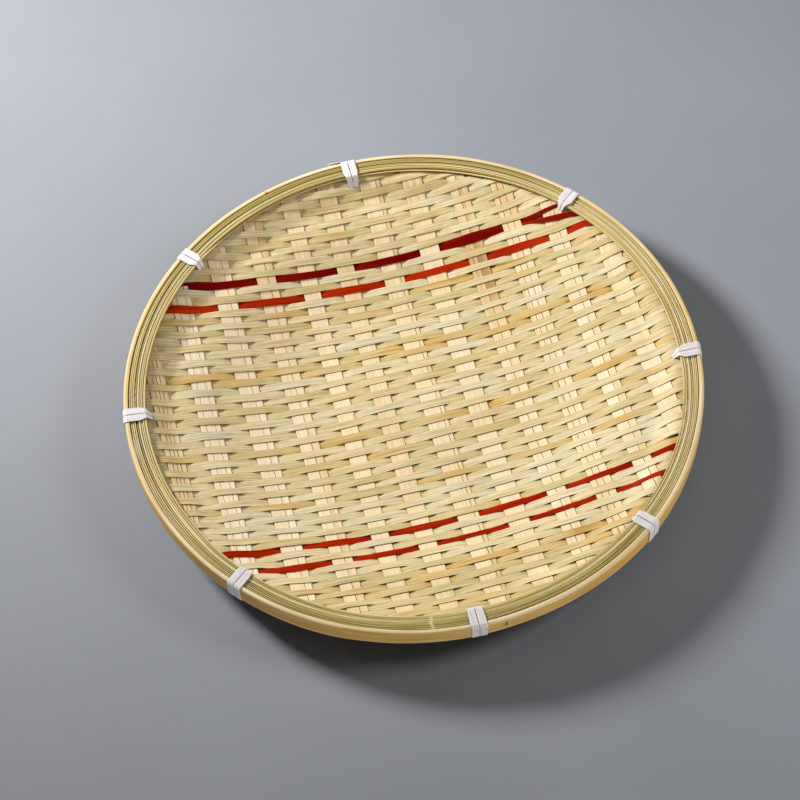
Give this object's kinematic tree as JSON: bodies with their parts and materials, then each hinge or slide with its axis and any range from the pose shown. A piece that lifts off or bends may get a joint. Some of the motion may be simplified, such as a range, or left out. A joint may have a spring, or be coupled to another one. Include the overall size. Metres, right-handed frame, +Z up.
{
  "type": "bamboo tray",
  "caption": "Round shallow tray of plain-woven bamboo splints with red accent wefts, held in a bamboo rim of hoops and splints tied with white straps.",
  "frame": {"origin": "on the surface the tray rests on, under the middle of the rim", "axes": "+X along the wefts, +Y along the warps, +Z up out of the tray"},
  "size_m": [0.2304, 0.2314, 0.0217],
  "materials": {
    "warp_bamboo": "pale split bamboo, matt, fine fibres along the splint",
    "weft_bamboo": "straw and green-straw split bamboo, matt, fine fibres along the splint",
    "red_dyed_bamboo": "dyed red bamboo, matt",
    "outer_hoop_bamboo": "planed bamboo, cream top edge, tan wall, satin",
    "green_skin_bamboo": "green-skinned bamboo on edge, satin",
    "inner_hoop_bamboo": "pale bamboo, satin",
    "white_strap": "flat white strap, satin, faint lengthwise ribs"
  },
  "bodies": {
    "root": {"warp_01": "warp_bamboo", "warp_02": "warp_bamboo", "warp_03": "warp_bamboo", "warp_04": "warp_bamboo", "warp_05": "warp_bamboo", "warp_06": "warp_bamboo", "warp_07": "warp_bamboo", "warp_08": "warp_bamboo", "warp_09": "warp_bamboo", "warp_10": "warp_bamboo", "warp_11": "warp_bamboo", "warp_12": "warp_bamboo", "wefts_01_03": "weft_bamboo", "wefts_04_06": "weft_bamboo", "wefts_07_08": "weft_bamboo", "wefts_09_10": "weft_bamboo", "wefts_11_12": "weft_bamboo", "red_weft_1": "red_dyed_bamboo", "wefts_14_15": "weft_bamboo", "red_weft_2": "red_dyed_bamboo", "wefts_17_19": "weft_bamboo", "wefts_20_21": "weft_bamboo", "wefts_22_23": "weft_bamboo", "wefts_24_25": "weft_bamboo", "wefts_26_27": "weft_bamboo", "wefts_28_29": "weft_bamboo", "wefts_30_31": "weft_bamboo", "wefts_32_33": "weft_bamboo", "wefts_34_35": "weft_bamboo", "wefts_36_37": "weft_bamboo", "wefts_38_39": "weft_bamboo", "wefts_40_41": "weft_bamboo", "wefts_42_43": "weft_bamboo", "wefts_44_45": "weft_bamboo", "wefts_46_47": "weft_bamboo", "wefts_48_49": "weft_bamboo", "wefts_50_51": "weft_bamboo", "red_weft_3": "red_dyed_bamboo", "wefts_53_54": "weft_bamboo", "red_weft_4": "red_dyed_bamboo", "wefts_56_57": "weft_bamboo", "wefts_58_59": "weft_bamboo", "wefts_60_61": "weft_bamboo", "wefts_62_63": "weft_bamboo", "wefts_64_65": "weft_bamboo", "wefts_66_67": "weft_bamboo", "outer_hoop": "outer_hoop_bamboo", "rim_splint_1": "green_skin_bamboo", "rim_splint_2": "green_skin_bamboo", "rim_splint_3": "green_skin_bamboo", "rim_splint_4": "green_skin_bamboo", "inner_hoop": "inner_hoop_bamboo", "binding_1": "white_strap", "binding_2": "white_strap", "binding_3": "white_strap", "binding_4": "white_strap", "binding_5": "white_strap", "binding_6": "white_strap", "binding_7": "white_strap", "binding_8": "white_strap"}
  },
  "joints": []
}
